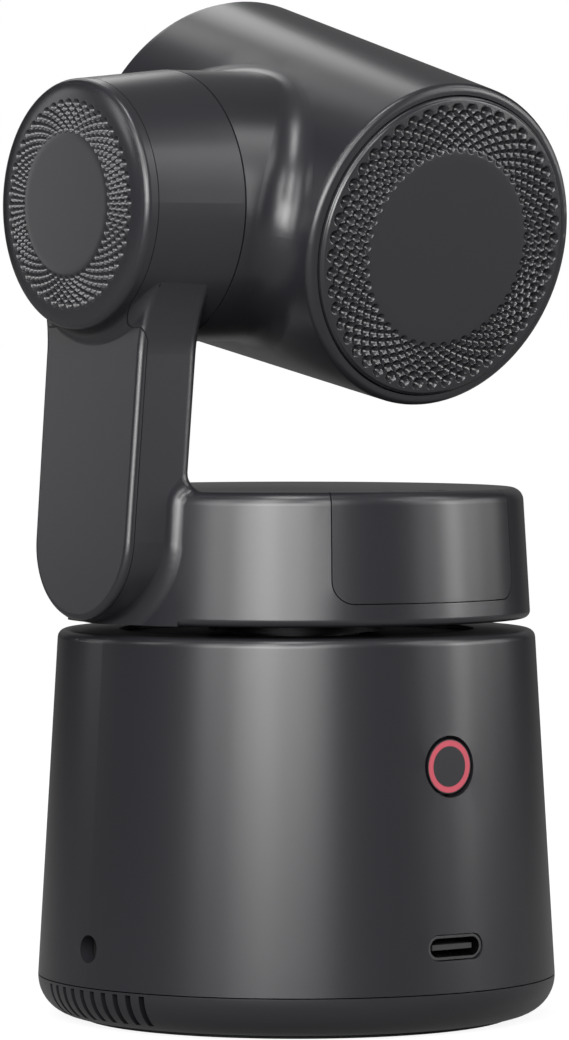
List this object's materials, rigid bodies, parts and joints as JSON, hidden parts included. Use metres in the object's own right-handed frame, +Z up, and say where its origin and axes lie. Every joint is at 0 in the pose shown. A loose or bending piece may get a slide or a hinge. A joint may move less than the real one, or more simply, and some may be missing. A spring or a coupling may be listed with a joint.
{
  "type": "pan-tilt streaming camera",
  "caption": "Pan-tilt camera: a tapered round base, a turning turret with one side arm, and a tilting cylindrical head; the round end caps are dimpled.",
  "frame": {"origin": "centre of the foot, on the pan axis, at the level that it stands on", "axes": "+Z up along the pan axis, -Y the way the lens looks, +X the side of the arm"},
  "size_m": [0.0732, 0.07, 0.1381],
  "materials": {
    "shell": "satin graphite",
    "cap": "satin graphite, dimpled",
    "rubber": "matte",
    "steel": "plain",
    "brass": "plain",
    "board": "solder mask",
    "copper": "enamelled copper wire",
    "iron": "laminated steel",
    "magnet": "nickel plated",
    "aluminium": "plain",
    "black_plastic": "matte",
    "battery": "shrink wrap",
    "front_glass": "clear",
    "lens_glass": "clear",
    "light": "translucent",
    "ring_light": "translucent red"
  },
  "bodies": {
    "base": {"base_shell": "shell", "bottom_cover": "shell", "foot_ring": "rubber", "tripod_insert": "brass", "bottom_screws": "steel", "battery_bracket": "black_plastic", "battery_pack": "battery", "main_board": "board", "wireless_shield": "steel", "usb_receptacle": "steel", "usb_tongue": "black_plastic", "audio_jack": "black_plastic", "button_board": "board", "button_switch": "black_plastic", "status_light": "light", "bearing_plate": "aluminium", "deck_screws": "steel", "pan_stator": "iron", "pan_coils": "copper", "pan_bearing_outer": "steel"},
    "power_button": {"power_button": "shell", "button_light_ring": "ring_light"},
    "turret": {"turret_shell": "shell", "turret_floor": "aluminium", "pan_shaft": "aluminium", "pan_rotor": "aluminium", "pan_magnets": "magnet", "pan_bearing_inner": "steel", "pan_bearing_balls": "steel", "floor_screws": "steel", "arm_cover": "shell", "arm_cap": "cap", "arm_screws": "steel", "port_bay": "black_plastic", "port_board": "board", "hdmi_socket": "steel", "card_slot": "steel", "tilt_motor_mount": "aluminium", "tilt_stator": "iron", "tilt_coils": "copper", "tilt_bearing_outer": "steel"},
    "port_flap": {"port_flap": "shell", "flap_leash": "rubber"},
    "head": {"head_barrel": "shell", "rear_cap": "cap", "front_bezel": "shell", "front_glass": "front_glass", "front_baffle": "black_plastic", "lens_barrel": "black_plastic", "front_lens": "lens_glass", "rear_lens": "lens_glass", "image_sensor": "black_plastic", "sensor_board": "board", "processor_board": "board", "heat_sink": "aluminium", "tilt_rotor": "aluminium", "tilt_magnets": "magnet", "tilt_shaft": "steel", "tilt_bearing_inner": "steel", "tilt_bearing_balls": "steel"}
  },
  "joints": [
    {"name": "pan", "type": "hinge", "parent": "base", "child": "turret", "pos_m": [0, 0, 0], "axis": [0, 0, 1], "range_deg": [-160, 160]},
    {"name": "head_tilt", "type": "hinge", "parent": "turret", "child": "head", "pos_m": [0, 0, 0.10937], "axis": [1, 0, 0], "range_deg": [-17, 103]},
    {"name": "button_press", "type": "slide", "parent": "base", "child": "power_button", "axis": [0, -1, 0], "range_m": [0, 0.0006], "stiffness_N_per_m": 800, "springref_m": -0.0002},
    {"name": "flap_pull", "type": "slide", "parent": "turret", "child": "port_flap", "axis": [0, 1, 0], "range_m": [0, 0.012]}
  ]
}
